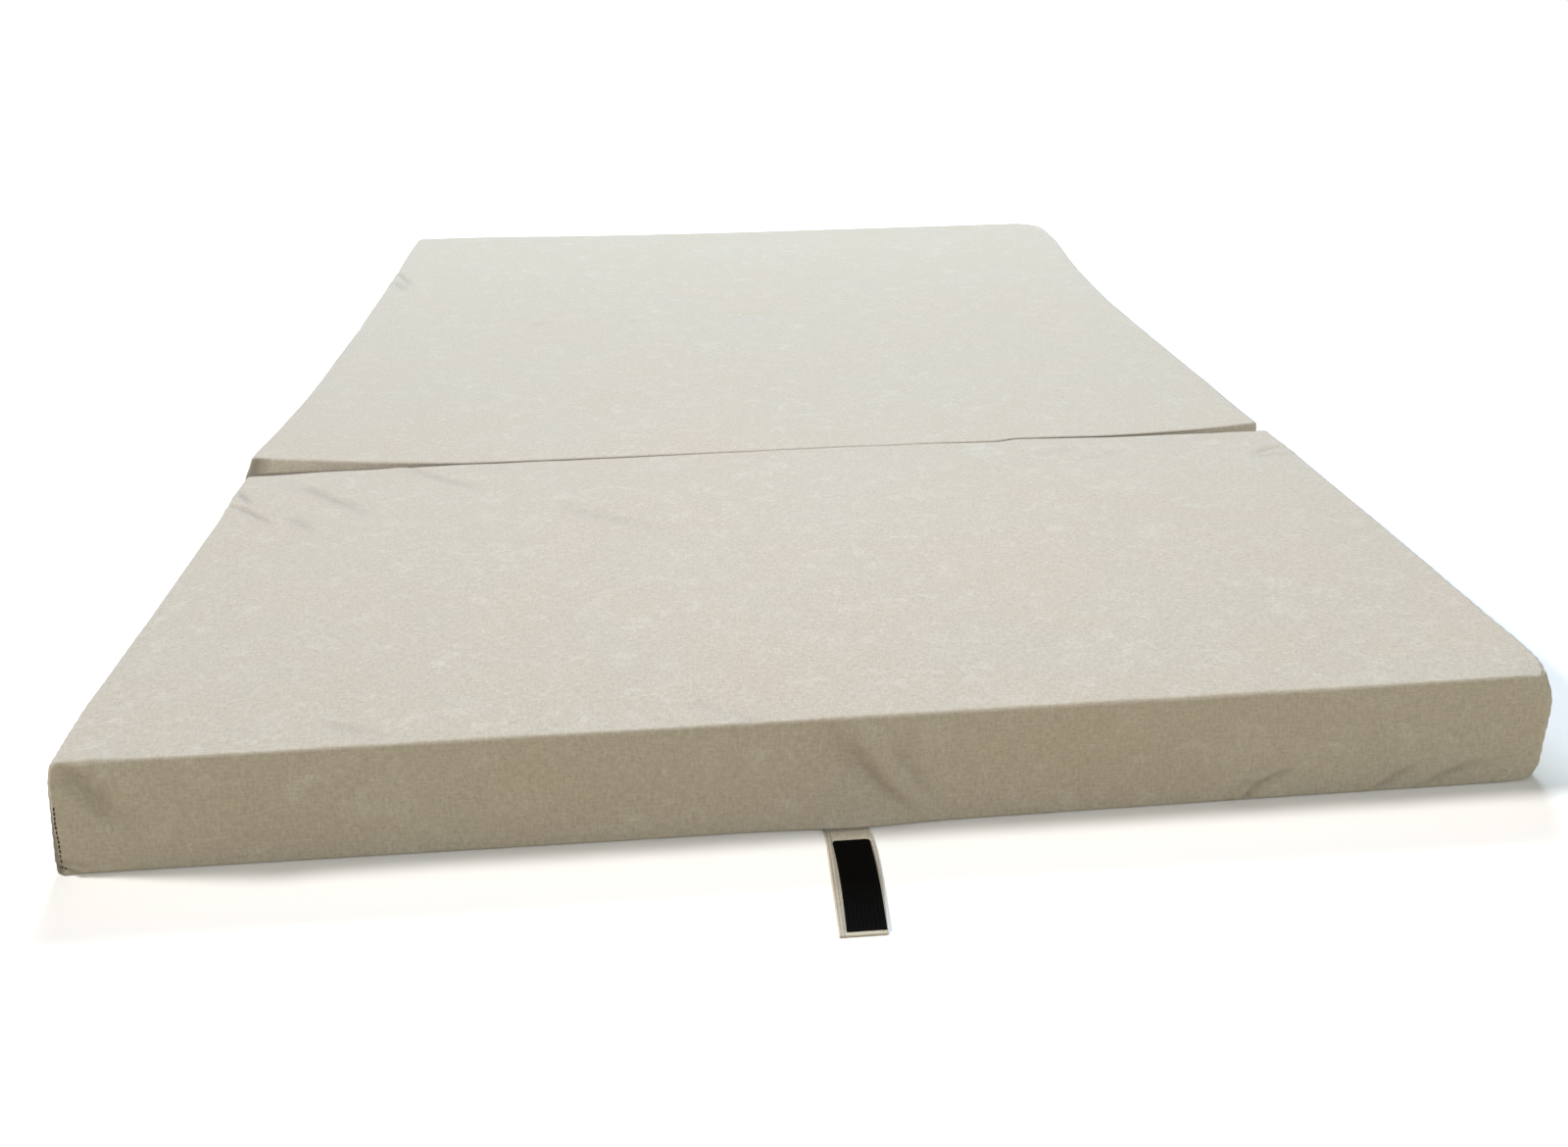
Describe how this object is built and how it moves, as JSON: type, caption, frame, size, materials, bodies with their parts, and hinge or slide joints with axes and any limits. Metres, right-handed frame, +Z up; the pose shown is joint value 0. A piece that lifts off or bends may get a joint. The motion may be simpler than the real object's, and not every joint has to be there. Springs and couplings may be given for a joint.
{
  "type": "folding mattress",
  "caption": "Foam mattress in zipped fabric covers that folds in a zig-zag into a low stack, with a hook-and-loop closing strap.",
  "frame": {"origin": "centre of the middle section's underside, on the floor that the mattress lies on", "axes": "+Y from the near section to the far one, along the mattress; +X to its right; +Z up"},
  "size_m": [1.2067, 2.1496, 0.1],
  "materials": {
    "cover_drill": "matte",
    "foam": "matte",
    "strap_drill": "matte",
    "hook_tape": "matte",
    "loop_tape": "matte",
    "zip_tape": "matte",
    "zip_coil": "satin",
    "zip_metal": "satin"
  },
  "bodies": {
    "far_section": {"far_cover": "cover_drill", "far_foam": "foam", "far_fold_strip": "cover_drill", "far_zip_tape_upper": "zip_tape", "far_zip_tape_lower": "zip_tape", "far_zip_coil": "zip_coil", "far_zip_start_stop": "zip_metal", "far_zip_end_stop": "zip_metal"},
    "middle_section": {"middle_cover": "cover_drill", "middle_foam": "foam", "near_fold_strip": "cover_drill", "middle_zip_tape_upper": "zip_tape", "middle_zip_tape_lower": "zip_tape", "middle_zip_coil": "zip_coil", "middle_zip_start_stop": "zip_metal", "middle_zip_end_stop": "zip_metal"},
    "near_section": {"near_cover": "cover_drill", "near_foam": "foam", "near_zip_tape_upper": "zip_tape", "near_zip_tape_lower": "zip_tape", "near_zip_coil": "zip_coil", "near_zip_start_stop": "zip_metal", "near_zip_end_stop": "zip_metal"},
    "closing_strap": {"closing_strap": "strap_drill", "hook_tape": "hook_tape"},
    "loop_strap": {"loop_strap": "strap_drill", "loop_tape": "loop_tape"},
    "near_slider": {"near_zip_slider": "zip_metal"},
    "middle_slider": {"middle_zip_slider": "zip_metal"},
    "far_slider": {"far_zip_slider": "zip_metal"},
    "near_pull": {"near_zip_pull": "zip_metal"},
    "middle_pull": {"middle_zip_pull": "zip_metal"},
    "far_pull": {"far_zip_pull": "zip_metal"}
  },
  "joints": [
    {"name": "fold_far", "type": "hinge", "parent": "far_section", "child": "middle_section", "pos_m": [0, 0.33433, 0.10015], "axis": [-1, 0, 0], "range_deg": [0, 180], "deforming": ["far_fold_strip"]},
    {"name": "fold_near", "type": "hinge", "parent": "middle_section", "child": "near_section", "pos_m": [0, -0.33433, -0.00015], "axis": [1, 0, 0], "range_deg": [0, 180], "deforming": ["near_fold_strip"]},
    {"name": "strap_swing", "type": "hinge", "parent": "near_section", "child": "closing_strap", "pos_m": [0.0135, -1.0011, 0.0008], "axis": [1, 0, 0], "range_deg": [-85, 90]},
    {"name": "loop_strap_swing", "type": "hinge", "parent": "far_section", "child": "loop_strap", "pos_m": [0.0135, 0.33493, 0.0008], "axis": [1, 0, 0], "range_deg": [0, 8.1]},
    {"name": "near_zip_slide", "type": "slide", "parent": "near_section", "child": "near_slider", "axis": [0, 1, 0], "range_m": [0, 0.5]},
    {"name": "middle_zip_slide", "type": "slide", "parent": "middle_section", "child": "middle_slider", "axis": [0.0135, 0.9999, 0], "range_m": [0, 0.5]},
    {"name": "far_zip_slide", "type": "slide", "parent": "far_section", "child": "far_slider", "axis": [-0.0135, 0.9999, 0], "range_m": [0, 0.5]},
    {"name": "near_pull_swing", "type": "hinge", "parent": "near_slider", "child": "near_pull", "pos_m": [-0.6047, -0.91907, 0.05], "axis": [0, 0, 1], "range_deg": [0, 180]},
    {"name": "middle_pull_swing", "type": "hinge", "parent": "middle_slider", "child": "middle_pull", "pos_m": [-0.6036, -0.25031, 0.05], "axis": [0, 0, 1], "range_deg": [0, 180]},
    {"name": "far_pull_swing", "type": "hinge", "parent": "far_slider", "child": "far_pull", "pos_m": [-0.59684, 0.41823, 0.05], "axis": [0, 0, 1], "range_deg": [0, 180]}
  ],
  "couplings": [
    {"joint": "fold_near", "follows": "fold_far", "ratio": 1},
    {"joint": "loop_strap_swing", "follows": "fold_far", "ratio": 0.044444}
  ]
}
